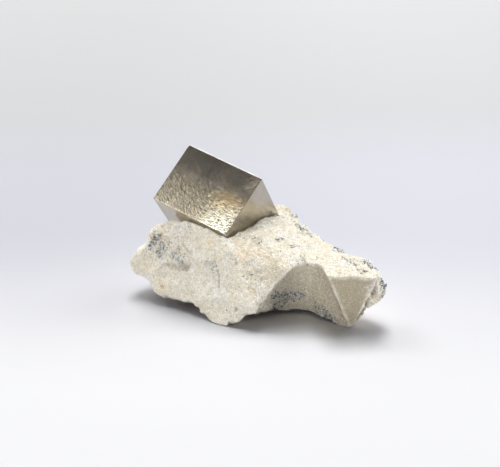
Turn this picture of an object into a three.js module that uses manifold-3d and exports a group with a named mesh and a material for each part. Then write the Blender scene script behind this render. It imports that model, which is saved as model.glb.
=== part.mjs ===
// A pyrite crystal, a right-angled block a little longer than a cube, set in a broken piece of pale marl.
// Millimetres, +Z up, the front towards -Y. The origin ends at the bottom centre of the whole specimen.
import * as THREE from "three";
import { ConvexGeometry } from "three/addons/geometries/ConvexGeometry.js";
import { RoundedBoxGeometry } from "three/addons/geometries/RoundedBoxGeometry.js";
import { ConvexHull } from "three/addons/math/ConvexHull.js";
import { SimplexNoise } from "three/addons/math/SimplexNoise.js";
import { MarchingCubes } from "three/addons/objects/MarchingCubes.js";
import { mergeVertices } from "three/addons/utils/BufferGeometryUtils.js";
import Module from "manifold-3d";

const wasm = await Module();
wasm.setup();

// The crystal: its three edge lengths, and the corner that points down and to the front.
const CRYSTAL_LENGTH = 25;
const CRYSTAL_WIDTH = 18.9;
const CRYSTAL_DEPTH = 22.4;
const CRYSTAL_EDGE_RADIUS = 0.3;
const CRYSTAL_CORNER = [-6.6, -9.8, 23];
// The way its length and its width point; the depth is square to both.
const CRYSTAL_LENGTH_WAY = [-0.822, 0.514, 0.246];
const CRYSTAL_WIDTH_WAY = [0.524, 0.511, 0.682];
// The socket is wider than the crystal: a hairline at the back, an open gap at the two front sides.
const SOCKET_GAP = 0.4;
const SOCKET_RIGHT_GAP = 0.45;
const SOCKET_LEFT_GAP = 0.4;
const SOCKET_CLEAR = 8;

// The marl: how finely its surface is cut, how far its lumps run together, and its relief.
const CELL = 1.5;
const GRID = 54;
const LUMP_BLEND = 1.2;
const CORNER_ROUND = 0.35;
const RELIEF_LONG = 8;
const RELIEF_LONG_HEIGHT = 0.75;
const RELIEF_SHORT = 4.2;
const RELIEF_SHORT_HEIGHT = 0.45;
// A grid point nearer the surface than this counts as this far, so no facet is a sliver.
const LEAST = 0.07;
const GRID_CENTRE = [1.5, 0, 11];
// What the rounding takes from the corners is given back all over.
const CORNER_GAIN = 0.45;
// The smooth broken face at the front left: its outward normal, how far out it lies, and how calm it is.
const SMOOTH_FACE = [-0.533, -0.774, 0.342, 18.3];
const SMOOTH_FACE_CALM = 0.6;

// The lumps of marl, each the hull of its corners.
const LUMPS = {
  core: [
    [-7.4, -9, 20.4], [-5.8, -11.8, 17.4], [-2.6, -15.6, 13.6], [1.5, -20.4, 7.2], [3.7, -18.4, 4.4],
    [-1, -5, 21], [0.5, -9.5, 19], [1.5, -13, 16.8], [2.5, -16, 13.6], [4.8, -18.3, 8.6],
    [6.7, -17.9, 11.6], [9.7, -17.2, 14], [16, -16, 16.4], [20, -14, 16.9], [20.5, 0.8, 18.1],
    [16.5, 7.8, 18.9], [12.2, 14.6, 20], [10.2, 18, 20.3], [2, 23, 20], [-6, 24, 19],
    [-6, -12, 2.6], [2, -15, 2.2], [17, -10.5, 1], [20, 1, 4.4], [13, 16, 4.6], [8, 23, 6],
    [-8, 23, 4],
  ],
  front_slab: [
    [-23, 2.2, 21.2], [-18.5, 0.6, 23.2], [-15.4, -2.6, 24.5], [-12.4, -5, 23.7], [-8.7, -8, 22.4],
    [-6.1, -11.9, 20.5], [-4.3, -13.8, 16.2], [-2.6, -15.9, 13.4], [-0.1, -19.3, 9.6],
    [1.8, -21.4, 6.6], [1.2, -21.4, 5], [-14.9, -11.8, 3.4], [-20.8, -8.2, 2.4], [-24.4, -6.2, 1.8],
    [-26.4, -4.4, 3], [-28.2, -2, 5.5], [-28.8, 1, 12], [-20, 14, 16], [-24, 12, 6],
    [-10, 12, 3], [4, 0, 4], [4, 0, 20],
  ],
  front_foot: [
    [-15.4, -11.2, 4], [-14.1, -13.4, 1.5], [-12.7, -15, 0.3], [-10.9, -16.8, -1],
    [-7.9, -19.2, -1.2], [-5.4, -19.8, 0.2], [-3, -20.6, 2.4], [-0.4, -21.2, 4.6],
    [1.4, -21.6, 5.4], [1.8, -21.6, 6.8], [-12, -12.5, 9], [-7, -11, -0.8], [-3, -12, 1.4],
    [-10, -6, 5], [2, -10, 8],
  ],
  top_hump: [
    [-22.9, 2.2, 21.9], [-20.6, 3.5, 22.4], [-26.2, 3, 21.3], [-28.9, 3.8, 19.1], [-29.7, 4, 16],
    [-29.4, 3, 13.6], [-25.5, -0.5, 15], [-22, -2.5, 16], [-19.5, -2.4, 20], [-24, 11, 18],
    [-22, 9, 10], [-28, 8, 12],
  ],
  left_lobe: [
    [-30.4, 3.4, 14.6], [-32.4, 4, 13.2], [-34.1, 4.6, 11.2], [-34.6, 4.4, 9.2], [-33.8, 2.4, 6.5],
    [-31.6, 0.6, 5.5], [-25, 0.2, 8], [-25, 1.6, 13], [-31, 10, 12], [-31, 10, 7], [-26, 6, 5],
    [-25, 13, 12], [-26, 12, 6],
  ],
  crystal_step: [
    [-3, -5.5, 20.3], [-0.8, -1.4, 21.8], [0.9, 0.8, 22.9], [2.9, 5, 21.4], [4.6, 9, 20.1],
    [9.4, 14.5, 19], [3.4, -1, 21.9], [9, 8, 19.9], [12.5, 3, 19.3], [11, -4, 19.4], [4, -8, 20.3],
    [0, -2, 14], [5, 5, 14], [11, 4, 14],
  ],
  back_block: [
    [7.3, 23, 21.9], [9.4, 20.5, 21.6], [11.6, 18.8, 21.1], [12.3, 17.2, 20.5], [12.6, 21, 17.5],
    [9, 25, 15], [3, 20, 16], [4.5, 25, 20.6], [15.3, 12, 19.6], [12, 14, 14], [6, 23, 6],
  ],
  back_shelf: [
    [-25, 12, 14.5], [-20, 18.5, 15], [-13, 23, 18.6], [-5, 26.5, 21.4], [4, 26, 21.4], [8, 20, 20],
    [-24, 12, 5], [-17, 19.5, 4], [-8, 24.5, 5], [4, 25.5, 7], [-8, 8, 4], [8, 14, 5], [-20, 6, 12],
  ],
  right_end: [
    [15.9, -16.7, 16.3], [17.4, -18, 16.4], [18.4, -21.2, 16.6], [19.6, -25.4, 16.7],
    [32.8, -23.4, 15.9], [33.6, -16, 15.4], [21, 0.8, 17.6], [24.5, -4.6, 16.8],
    [28, -7, 15.9], [32, -9.4, 15.4], [34.2, -11.5, 15], [35, -14, 14.3], [36.2, -15.6, 11.8],
    [36.6, -16, 9.8], [35.2, -17, 7], [31.4, -19, 5.9], [18, -15, 16.4], [18, -6, 4],
    [26, -6, 6], [32, -11, 7.5], [27, -17, 5],
  ],
  right_leg: [
    [19.5, -25.4, 16], [32.6, -23.2, 15.4], [30.2, -20.4, 4.4], [28.9, -20.8, 0.8],
    [27.6, -21, -0.6], [25.6, -21, -0.8], [22, -17.5, -0.2], [18.6, -13.6, 0.5], [14, -12, 1.4],
    [13, -14, 14.6], [17, -24, 13], [18, -6, 3], [21, -4, 4], [29, -11, 5],
  ],
  back_left_foot: [
    [-22, 6, 8], [-24, 12, 6], [-14, 18, 8], [-10, 10, 8], [-21, 9, -1], [-20, 13, -1],
    [-15, 15, -1], [-14, 9, -1],
  ],
  back_right_foot: [
    [-2, 12, 9], [15, 11, 8], [10, 21, 9], [0, 22, 8], [2, 15, -1], [10, 12, -1], [8, 18, -1],
    [3, 19, -1],
  ],
};

// Two hollows in the front, each left by another crystal: the hull of its corners is taken away.
const FRONT_NOTCH = [
  [15.4, -16.6, 21], [17.2, -17.4, 21], [14.6, -15, 15.5], [17.1, -15.7, 15.9], [10.6, -14.6, 13.4],
  [8, -14.6, 10.2], [6.4, -14.6, 5], [6.2, -13, 0.5], [11.5, -10.8, 0.5], [15.8, -11.2, 1],
  [3.7, -18, 4.6], [4.8, -18, 8.3], [6.7, -17.6, 11.4], [9.7, -17, 14.2], [3.4, -40, 8],
  [4.4, -40, 17.6], [9.2, -40, 26], [20.2, -40, 22], [19, -25.5, 18.2], [3.4, -18, -4],
  [15.6, -10, -4], [3.4, -40, -6], [28, -40, -6], [27.7, -20.6, -2],
];
const MOULD_LEFT = [19.9, -25, 16.4];
const MOULD_RIGHT = [32.8, -23, 16];
const MOULD_FOOT = [27.4, -20.4, 0];

const point = ([x, y, z]) => new THREE.Vector3(x, y, z);

// A solid with its vertices merged, ready for adding and taking away.
function solidOf(geometry) {
  const bare = geometry.index ? geometry.toNonIndexed() : geometry;
  const positions = new THREE.BufferGeometry();
  positions.setAttribute("position", bare.getAttribute("position").clone());
  const merged = mergeVertices(positions, 1e-4);
  const mesh = new wasm.Mesh({
    numProp: 3,
    vertProperties: new Float32Array(merged.getAttribute("position").array),
    triVerts: new Uint32Array(merged.index.array),
  });
  return new wasm.Manifold(mesh);
}

// A geometry from a solid.
function geometryOf(solid) {
  const { vertProperties, triVerts } = solid.getMesh();
  const geometry = new THREE.BufferGeometry();
  geometry.setAttribute("position", new THREE.BufferAttribute(new Float32Array(vertProperties), 3));
  geometry.setIndex(new THREE.BufferAttribute(new Uint32Array(triVerts), 1));
  const flat = geometry.toNonIndexed();
  flat.computeVertexNormals();
  return flat;
}

// A seeded source of numbers from 0 to 1, so the relief is the same at each build.
function seeded(seed) {
  let state = seed;
  const random = () => {
    state = (state * 16807) % 2147483647;
    return state / 2147483647;
  };
  return { random };
}

// The crystal's own axes: length, width and depth, in the specimen's frame.
const lengthWay = point(CRYSTAL_LENGTH_WAY).normalize();
const depthWay = lengthWay.clone().cross(point(CRYSTAL_WIDTH_WAY)).normalize();
const widthWay = depthWay.clone().cross(lengthWay);

// A geometry turned into the crystal's axes and moved from its own middle to the middle given there.
function inCrystalAxes(geometry, middle) {
  const place = point(CRYSTAL_CORNER);
  place.addScaledVector(lengthWay, middle[0]);
  place.addScaledVector(widthWay, middle[1]);
  place.addScaledVector(depthWay, middle[2]);
  geometry.applyMatrix4(new THREE.Matrix4().makeBasis(lengthWay, widthWay, depthWay));
  return geometry.translate(place.x, place.y, place.z);
}

// One lump as planes: their outward normals and how far out they lie.
function planesOf(corners) {
  const hull = new ConvexHull().setFromPoints(corners.map(point));
  return hull.faces.map((face) => [face.normal.x, face.normal.y, face.normal.z, face.constant]);
}

// How far a point is outside a lump, with the corners a little rounded.
function outside(planes, x, y, z) {
  let most = -Infinity;
  for (const [nx, ny, nz, c] of planes) {
    most = Math.max(most, nx * x + ny * y + nz * z - c);
  }
  let sum = 0;
  for (const [nx, ny, nz, c] of planes) {
    sum += Math.exp((nx * x + ny * y + nz * z - c - most) / CORNER_ROUND);
  }
  return most + CORNER_ROUND * Math.log(sum);
}

// Two distances joined into one, with a fillet where they meet.
function blend(a, b) {
  const h = Math.max(LUMP_BLEND - Math.abs(a - b), 0) / LUMP_BLEND;
  return Math.min(a, b) - h * h * LUMP_BLEND * 0.25;
}

const lumps = Object.values(LUMPS).map(planesOf);
const longNoise = new SimplexNoise(seeded(7));
const shortNoise = new SimplexNoise(seeded(19));

// How far a point is outside the broken marl, its relief included.
function marl(x, y, z) {
  let distance = Infinity;
  for (const planes of lumps) {
    distance = blend(distance, outside(planes, x, y, z));
  }
  const long = longNoise.noise3d(x / RELIEF_LONG, y / RELIEF_LONG, z / RELIEF_LONG);
  const short = shortNoise.noise3d(x / RELIEF_SHORT, y / RELIEF_SHORT, z / RELIEF_SHORT);
  const [nx, ny, nz, c] = SMOOTH_FACE;
  const near = THREE.MathUtils.smoothstep(nx * x + ny * y + nz * z - c, -4.5, -1.5);
  const strength = 1 - SMOOTH_FACE_CALM * near;
  const relief = RELIEF_LONG_HEIGHT * long + RELIEF_SHORT_HEIGHT * short;
  return distance + strength * relief - CORNER_GAIN;
}

// The marl's surface, found cell by cell on a grid.
function marlGeometry() {
  const cubes = new MarchingCubes(GRID, new THREE.MeshBasicMaterial(), false, false, 30000);
  const half = GRID / 2;
  const [cx, cy, cz] = GRID_CENTRE;
  for (let k = 0; k < GRID; k += 1) {
    for (let j = 0; j < GRID; j += 1) {
      for (let i = 0; i < GRID; i += 1) {
        const x = cx + (i - half) * CELL;
        const y = cy + (j - half) * CELL;
        const z = cz + (k - half) * CELL;
        const rough = marl(x, y, z);
        const kept = Math.abs(rough) < LEAST ? Math.sign(rough || 1) * LEAST : rough;
        cubes.field[i + j * GRID + k * GRID * GRID] = -kept;
      }
    }
  }
  cubes.isolation = 0;
  cubes.update();
  const positions = cubes.positionArray.slice(0, cubes.count * 3);
  const geometry = new THREE.BufferGeometry();
  geometry.setAttribute("position", new THREE.BufferAttribute(positions, 3));
  geometry.scale(half * CELL, half * CELL, half * CELL);
  geometry.translate(cx, cy, cz);
  return geometry;
}

// The flat mould of another crystal: all the marl in front of the plane through three corners.
function mouldCutter() {
  const left = point(MOULD_LEFT);
  const across = point(MOULD_RIGHT).sub(left).normalize();
  const down = point(MOULD_FOOT).sub(left);
  const out = across.clone().cross(down).normalize();
  if (out.y > 0) {
    out.negate();
  }
  const up = out.clone().cross(across);
  const box = new THREE.BoxGeometry(24, 40, 20);
  box.translate(9.5, -4, 10);
  box.applyMatrix4(new THREE.Matrix4().makeBasis(across, up, out));
  box.translate(left.x, left.y, left.z);
  return solidOf(box);
}

const crystalGeometry = inCrystalAxes(
  new RoundedBoxGeometry(CRYSTAL_LENGTH, CRYSTAL_WIDTH, CRYSTAL_DEPTH, 2, CRYSTAL_EDGE_RADIUS),
  [CRYSTAL_LENGTH / 2, CRYSTAL_WIDTH / 2, CRYSTAL_DEPTH / 2],
);
// The socket also clears the marl above the crystal and in front of it.
const socketLow = [-SOCKET_RIGHT_GAP, -SOCKET_LEFT_GAP, -SOCKET_CLEAR];
const socketHigh = [CRYSTAL_LENGTH + SOCKET_GAP, CRYSTAL_WIDTH + SOCKET_CLEAR, CRYSTAL_DEPTH + SOCKET_GAP];
const socketGeometry = inCrystalAxes(
  new THREE.BoxGeometry(
    socketHigh[0] - socketLow[0],
    socketHigh[1] - socketLow[1],
    socketHigh[2] - socketLow[2],
  ),
  socketLow.map((low, axis) => (low + socketHigh[axis]) / 2),
);

const floorBox = new THREE.BoxGeometry(200, 200, 20).translate(0, 0, -10);
const rock = solidOf(marlGeometry())
  .subtract(solidOf(floorBox))
  .subtract(solidOf(socketGeometry))
  .subtract(solidOf(new ConvexGeometry(FRONT_NOTCH.map(point))))
  .subtract(mouldCutter());
const pieces = rock.decompose().sort((a, b) => b.volume() - a.volume());

const marlMatrix = new THREE.Mesh(
  geometryOf(pieces[0]),
  new THREE.MeshStandardMaterial({ color: 0xd8ceb6, roughness: 0.95, metalness: 0 }),
);
marlMatrix.name = "marl_matrix";

const pyriteCrystal = new THREE.Mesh(
  crystalGeometry,
  new THREE.MeshStandardMaterial({ color: 0xb8a677, roughness: 0.3, metalness: 1 }),
);
pyriteCrystal.name = "pyrite_crystal";

const group = new THREE.Group();
group.add(marlMatrix, pyriteCrystal);
const box = new THREE.Box3().setFromObject(group);
const middle = box.getCenter(new THREE.Vector3());
group.position.set(-middle.x, -middle.y, -box.min.z);

export default group;
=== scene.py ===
# %% [markdown]
# # A pyrite crystal on marl
#
# Pyrite grows as bright metal blocks inside soft, pale marl. Here one block stands corner down in a
# broken lump of that marl. This lesson dresses a measured model of the specimen: the rock gets its
# broken surface, its stains and its dark grains, and the crystal gets its fine growth lines.
#
# The measured model comes first, as a fixed frame. Everything is in metres and in its coordinates.

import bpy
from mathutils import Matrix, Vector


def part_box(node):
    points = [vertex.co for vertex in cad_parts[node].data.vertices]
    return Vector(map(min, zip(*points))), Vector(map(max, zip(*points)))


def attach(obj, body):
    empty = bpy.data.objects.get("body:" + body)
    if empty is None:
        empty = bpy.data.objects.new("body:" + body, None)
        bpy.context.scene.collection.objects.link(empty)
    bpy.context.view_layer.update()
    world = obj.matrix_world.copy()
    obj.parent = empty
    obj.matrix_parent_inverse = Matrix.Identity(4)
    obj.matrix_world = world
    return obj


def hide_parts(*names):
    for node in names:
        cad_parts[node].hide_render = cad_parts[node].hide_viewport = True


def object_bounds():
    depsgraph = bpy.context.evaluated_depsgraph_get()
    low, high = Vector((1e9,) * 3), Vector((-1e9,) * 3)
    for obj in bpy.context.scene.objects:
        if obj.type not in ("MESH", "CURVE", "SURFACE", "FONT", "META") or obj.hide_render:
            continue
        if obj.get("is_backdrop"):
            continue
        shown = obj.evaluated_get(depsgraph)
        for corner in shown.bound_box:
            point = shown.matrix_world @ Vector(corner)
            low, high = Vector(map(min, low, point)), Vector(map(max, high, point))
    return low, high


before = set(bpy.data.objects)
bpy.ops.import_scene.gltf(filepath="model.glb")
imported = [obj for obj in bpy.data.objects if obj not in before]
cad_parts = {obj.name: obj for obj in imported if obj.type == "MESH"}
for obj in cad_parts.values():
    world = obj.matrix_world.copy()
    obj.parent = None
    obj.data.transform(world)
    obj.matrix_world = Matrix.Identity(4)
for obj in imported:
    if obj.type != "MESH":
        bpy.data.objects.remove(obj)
cad_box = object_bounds()
print("measured box in mm:", [[round(1000 * value, 1) for value in corner] for corner in cad_box])

# %% Tools used all along
import itertools
import math

import bpy
import numpy as np
from mathutils import Vector

MM = 0.001
rng = np.random.default_rng(20)

# %% [markdown]
# ## Where things are
#
# Places on the specimen are easiest to name from the crystal, because its edges are straight. The
# crystal's three edge directions and its middle give a ruler for everything else: a helper turns
# millimetres in the collector's own layout (x to the right, y to the back, z up from the shelf) into the
# frame. The crystal's front lower corner is the point from which its edges start.

# %% The crystal's axes and the layout helper
LENGTH, WIDTH, DEPTH = 25.0, 18.9, 22.4
CORNER = np.array([-6.6, -9.8, 23.0])
length_way = np.array([-0.822, 0.514, 0.246])
length_way /= np.linalg.norm(length_way)
depth_way = np.cross(length_way, [0.524, 0.511, 0.682])
depth_way /= np.linalg.norm(depth_way)
width_way = np.cross(depth_way, length_way)
crystal_middle = CORNER + length_way * LENGTH / 2 + width_way * WIDTH / 2 + depth_way * DEPTH / 2

low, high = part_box("pyrite_crystal")
box_middle = (np.array(low) + np.array(high)) / 2 / MM
layout_shift = box_middle - crystal_middle
layout_shift[2] = 0.0


def place(point):
    """A layout point in millimetres, as metres in the frame: the layout is moved by one fixed step."""
    return (np.asarray(point, float) + layout_shift) * MM


print("layout moved by (mm):", layout_shift.round(3))

# %% [markdown]
# ## Smooth random fields
#
# Broken rock has no pattern, yet it isn't plain static either: it rises and falls smoothly at several
# sizes at once. Gradient noise gives that. Random arrows sit on the corners of a grid; each point blends
# the eight arrows around it. Adding several sizes gives the wanted roughness. Working on whole arrays
# keeps it fast for a hundred thousand points.


# %% Gradient noise
def lattice_arrows(corners, seed):
    """A repeatable arrow for each whole-number corner: the sine of a large mix of its three numbers."""
    mix = corners @ np.array([127.1, 311.7, 74.7]) + seed * 19.19
    turn = np.modf(np.sin(mix) * 43758.5453)[0] * 2 * np.pi
    rise = np.modf(np.sin(mix * 1.37 + 2.1) * 24634.6345)[0]
    flat = np.sqrt(np.clip(1 - rise**2, 0, 1))
    return np.stack([flat * np.cos(turn), flat * np.sin(turn), rise], axis=-1)


def noise(points, size, seed=0):
    """Gradient noise, about -1 to 1: corner arrows dot the way to the point, blended by 6t5-15t4+10t3."""
    scaled = points / size
    base = np.floor(scaled)
    part = scaled - base
    ease = part**3 * (part * (part * 6 - 15) + 10)
    total = np.zeros(len(points))
    for dx in (0, 1):
        for dy in (0, 1):
            for dz in (0, 1):
                step = np.array([dx, dy, dz])
                arrows = lattice_arrows(base + step, seed)
                weight = np.prod(np.where(step, ease, 1 - ease), axis=-1)
                total += weight * np.sum(arrows * (part - step), axis=-1)
    return total * 1.6


def layered(points, size, layers, seed=0, keep=0.55):
    """Several noises added up, each half the size of the one before and keep times as strong."""
    total = np.zeros(len(points))
    strength = 1.0
    for layer in range(layers):
        total += strength * noise(points, size / 2**layer, seed + 7 * layer)
        strength *= keep
    return total


def ramp(value, start, end):
    """0 before start, 1 after end, and a smooth S between them: 3t2-2t3."""
    t = np.clip((value - start) / (end - start), 0, 1)
    return t * t * (3 - 2 * t)


print("noise spread:", np.std(noise(rng.uniform(0, 40, (4000, 3)), 3.0)).round(3))

# %% [markdown]
# ## The crystal's block
#
# The crystal is a right-angled block with crisp edges. A cube with a Bevel modifier would give the block,
# but not the fine growth lines that every pyrite face carries, and those need a dense, even grid. So each
# face is a grid of its own, and one formula rounds all six: shrink the block by the edge radius, find the
# nearest point of the shrunk block, and stand off from it by the radius. Extra grid lines go where the
# edges turn.

# %% A rounded block from six grids
EDGE_RADIUS = 0.13
FINE_SPACING, COARSE_SPACING = 0.16, 0.26
half_size = np.array([LENGTH, WIDTH, DEPTH]) / 2
crystal_axes = np.stack([length_way, width_way, depth_way])


def block_lines(half, spacing):
    """Grid lines from -half to half: even on the flat, then at equal angles round the edge's quarter turn."""
    flat = half - EDGE_RADIUS
    even = np.linspace(-flat, flat, round(2 * flat / spacing) + 1)
    turn = EDGE_RADIUS * np.tan(np.radians([15, 30, 45]))
    return np.concatenate([-(flat + turn)[::-1], even, flat + turn])


def block_face(axis, side, lines):
    """One face of the unrounded block, side times half out along axis: its points and outward quads."""
    first, second = [other for other in range(3) if other != axis]
    across, along = np.meshgrid(lines[first], lines[second], indexing="ij")
    points = np.empty(across.shape + (3,))
    points[..., axis] = side * half_size[axis]
    points[..., first] = across
    points[..., second] = along
    index = np.arange(across.size).reshape(across.shape)
    quads = np.stack([index[:-1, :-1], index[1:, :-1], index[1:, 1:], index[:-1, 1:]], axis=-1)
    turned = side * (1, -1, 1)[axis] < 0
    quads = quads[..., ::-1] if turned else quads
    return points.reshape(-1, 3), quads.reshape(-1, 4)


spacings = (FINE_SPACING, FINE_SPACING, COARSE_SPACING)
block_grid = [block_lines(half, spacing) for half, spacing in zip(half_size, spacings)]
corners, quads = [], []
for axis in range(3):
    for side in (-1, 1):
        face_points, face_quads = block_face(axis, side, block_grid)
        quads.append(face_quads + sum(len(part) for part in corners))
        corners.append(face_points)
corners = np.concatenate(corners)
quads = np.concatenate(quads)
_, first_use, shared = np.unique(np.round(corners, 5), axis=0, return_index=True, return_inverse=True)
block = corners[first_use]
block_quads = shared.reshape(-1)[quads]

shrunk = np.clip(block, EDGE_RADIUS - half_size, half_size - EDGE_RADIUS)
outward = block - shrunk
outward /= np.linalg.norm(outward, axis=1, keepdims=True)
block = shrunk + EDGE_RADIUS * outward
print("crystal grid:", len(block), "points,", 2 * len(block_quads), "triangles")

# %% [markdown]
# ## Growth lines on the crystal
#
# Pyrite faces are not mirrors. They grew in thin sheets, and the sheets' edges stay as fine lines that
# catch the light one by one. On the large front face the lines run along the block's length at one end
# and fan out towards the other. To draw them, one coordinate is made that stays the same along a line
# and changes across it; noise squeezed in that coordinate and stretched along the other gives lines.
# The lines stand a few thousandths of a millimetre high, because it is their slopes that sparkle. The
# same coordinate is stored on the points, and the finish draws its finer strokes along it.


# %% The fan of growth lines
FAN_START, FAN_SOFTNESS, FAN_SLOPE = 11.0, 5.0, 1.0
LEVEL_SLOPE = 0.2


def across_lines(u, v):
    """Distance across the lines: v plus a slight slope in u, less a bend that starts flat, ends straight."""
    past = u - FAN_START
    return v + LEVEL_SLOPE * u - FAN_SLOPE * (np.sqrt(past**2 + FAN_SOFTNESS**2) + past) / 2


def lines_field(across, along, width, length, seed):
    """Noise about width across a line and length along it."""
    stacked = np.stack([across / width, along / length, np.full(len(across), seed * 3.7)], axis=-1)
    return noise(stacked, 1.0, seed)


u, v, w = (block + half_size).T
wander = 0.3 * noise(np.stack([u, v, w], axis=-1), 5.0, 3)
across = across_lines(u, v) + wander
fine_lines = lines_field(across, u, 0.42, 1.5, 5) + 0.6 * lines_field(across, u, 0.9, 3.4, 8)
print("growth lines:", fine_lines.std().round(3))

# %% [markdown]
# The lines are shallow at the top of the front face and deepen towards its lower edge and its left end.
# Small growth pits lie near the lower corner. The face is very slightly crowned, so it passes from dark
# to bright along its height. The other faces get a calmer ripple, the edges a few nicks, and the top
# corner is a little blunt. Subdivision and a Displace modifier could do this, but formulas on arrays let
# each face have its own relief. What passes the measured box is held at it.


# %% Relief of the crystal
CROWN_HEIGHT, LINE_HEIGHT, PIT_DEPTH = 0.13, 0.003, 0.03
RIPPLE_HEIGHT, SWELL_HEIGHT, NICK_DEPTH = 0.006, 0.012, 0.05
BLUNT_REACH, BLUNT_DEPTH = 1.0, 0.12


def mound(value, centre, reach):
    """A smooth hill of height 1 at centre that is gone at reach: the square of one less the squared way."""
    return np.clip(1 - ((value - centre) / reach) ** 2, 0, 1) ** 2


front = ramp(-outward[:, 2], 0.7, 0.99)
right = ramp(-outward[:, 0], 0.7, 0.99)
flat_part = ramp(np.abs(outward).max(axis=1), 0.7, 0.99)

low_on_face = 1 - ramp(v, 5.5, 15.5)
left_on_face = ramp(u, 12.0, 21.0) * (1 - ramp(v, 8.0, 15.0))
worked = np.clip(0.16 + 0.84 * np.maximum(low_on_face, left_on_face) + 0.2 * noise(block, 6.0, 12), 0.1, 1.0)
near_upper_right = mound(u, 1.5, 4.5) * mound(v, 16.5, 5.0)
worked = np.maximum(worked, 0.8 * near_upper_right)

pit_zone = (1 - ramp(u, 5.0, 15.0)) * (1 - ramp(v, 2.5, 8.0))
pits = ramp(noise(np.stack([u, v, w], axis=-1), 0.8, 31), 0.32, 0.62) * pit_zone
crown = CROWN_HEIGHT * (1 - (2 * v / WIDTH - 1) ** 2) * (1 - (2 * u / LENGTH - 1) ** 4)

relief = front * (crown + LINE_HEIGHT * worked * fine_lines - PIT_DEPTH * pits)
ripple = lines_field(v, w, 1.2, 2.5, 15) + 0.5 * lines_field(v + w, u, 0.5, 1.4, 17)
relief += (1 - front) * flat_part * RIPPLE_HEIGHT * ripple
side_work = (1 - front) * flat_part * np.clip(0.22 + 0.3 * noise(block, 7.0, 19), 0, 0.5)
relief += flat_part * SWELL_HEIGHT * noise(block, 4.5, 22)

edge_band = 1 - flat_part
nicks = ramp(noise(block, 0.9, 25), 0.25, 0.6) * edge_band
relief -= NICK_DEPTH * nicks
relief -= BLUNT_DEPTH * mound(np.linalg.norm(block - half_size * [1, 1, -1], axis=1), 0.0, BLUNT_REACH)

crystal_points = block + outward * relief[:, None]
box_low, box_high = np.array(cad_box[0]), np.array(cad_box[1])
crystal_world = np.clip(place(crystal_middle + crystal_points @ crystal_axes), box_low, box_high)
print("crystal relief (mm):", relief.min().round(3), "to", relief.max().round(3))

# %% [markdown]
# ## The crystal as a piece
#
# The arrays become one mesh object. What the finish has to know is stored on the points: the two line
# coordinates, how worked a spot is, the pits, and three masks of the front face: a painted sheen at its
# lower corner, a warm tint beside it and a painted dimming low in the middle. Painted vertex colours
# would carry less, because an attribute can be any number under any name.


# %% From arrays to a piece
def piece_from_arrays(name, points, faces, smooth=True):
    """A mesh object at the origin from an array of points in metres and an array of faces."""
    mesh = bpy.data.meshes.new(name)
    mesh.from_pydata(points.tolist(), [], faces.tolist())
    mesh.polygons.foreach_set("use_smooth", np.full(len(faces), smooth))
    mesh.update()
    piece = bpy.data.objects.new(name, mesh)
    bpy.context.scene.collection.objects.link(piece)
    return piece


def paint(piece, name, values):
    """Stores one number, or one triple, for each point of a piece under a name that materials can read."""
    values = np.asarray(values, np.float32)
    kind, field = ("FLOAT", "value") if values.ndim == 1 else ("FLOAT_VECTOR", "vector")
    layer = piece.data.attributes.new(name, kind, "POINT")
    layer.data.foreach_set(field, values.ravel())


# Painted sheen near the front face's lower corner and painted dimming low in its middle stand in for
# reflections.
sheen_corner = mound(np.hypot(u * 0.75, v), 0.0, 11.0)
peach = mound(u, 4.5, 8.0) * mound(v, 8.0, 5.5)
painted_dimming = mound(u, 14.5, 10.0) * (1 - ramp(v, 5.5, 12.0))

crystal = piece_from_arrays("pyrite_crystal_block", crystal_world, block_quads)
paint(crystal, "lines", np.stack([across, u, w], axis=-1))
paint(crystal, "worked", worked * front + side_work * (1 - right))
paint(crystal, "pits", pits * front)
paint(crystal, "painted_sheen", sheen_corner * front)
paint(crystal, "peach", peach * front)
paint(crystal, "painted_dimming", painted_dimming * front)
print("crystal piece:", len(crystal.data.polygons), "faces")

# %% [markdown]
# ## The marl's surface
#
# Marl is a soft, chalky rock, broken by hand here: rough and sugary where it tore, calm where it split,
# and dead smooth where another crystal once pressed against it. The measured solid is faceted. A copy of
# it is merged and remeshed into small even quads, so that fine relief has points to work on. Sculpting by
# hand would do as well, but relief by formula can be repeated and changed.

# %% A fine, even copy of the measured rock
GRAIN_STEP = 0.33


def fine_copy(node, name, step):
    """A merged copy of a measured node, remeshed into quads about step millimetres wide."""
    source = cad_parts[node]
    rough = bpy.data.objects.new(name, source.data.copy())
    bpy.context.scene.collection.objects.link(rough)
    weld = rough.modifiers.new("weld", "WELD")
    weld.merge_threshold = 0.002 * MM
    voxels = rough.modifiers.new("voxels", "REMESH")
    voxels.mode = "VOXEL"
    voxels.voxel_size = step * MM
    voxels.use_smooth_shade = True
    bpy.context.view_layer.update()
    made = bpy.data.meshes.new_from_object(rough.evaluated_get(bpy.context.evaluated_depsgraph_get()))
    rough.modifiers.clear()
    rough.data = made
    made.materials.clear()
    return rough


marl = fine_copy("marl_matrix", "marl_rock", GRAIN_STEP)


def points_of(mesh):
    """The points of a mesh as an array of metres."""
    flat = np.empty(3 * len(mesh.vertices), np.float32)
    mesh.vertices.foreach_get("co", flat)
    return flat.reshape(-1, 3).astype(float)


def normals_of(mesh):
    """The outward direction at each point of a mesh."""
    flat = np.empty(3 * len(mesh.vertices), np.float32)
    mesh.vertex_normals.foreach_get("vector", flat)
    return flat.reshape(-1, 3).astype(float)


def edges_of(mesh):
    """The pairs of points joined by an edge."""
    flat = np.empty(2 * len(mesh.edges), np.int32)
    mesh.edges.foreach_get("vertices", flat)
    return flat.reshape(-1, 2)


def move_points(mesh, points):
    """Puts an array of points back into a mesh."""
    mesh.vertices.foreach_set("co", points.astype(np.float32).ravel())
    mesh.update()


print("marl points:", len(marl.data.vertices), "faces:", len(marl.data.polygons))

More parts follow.
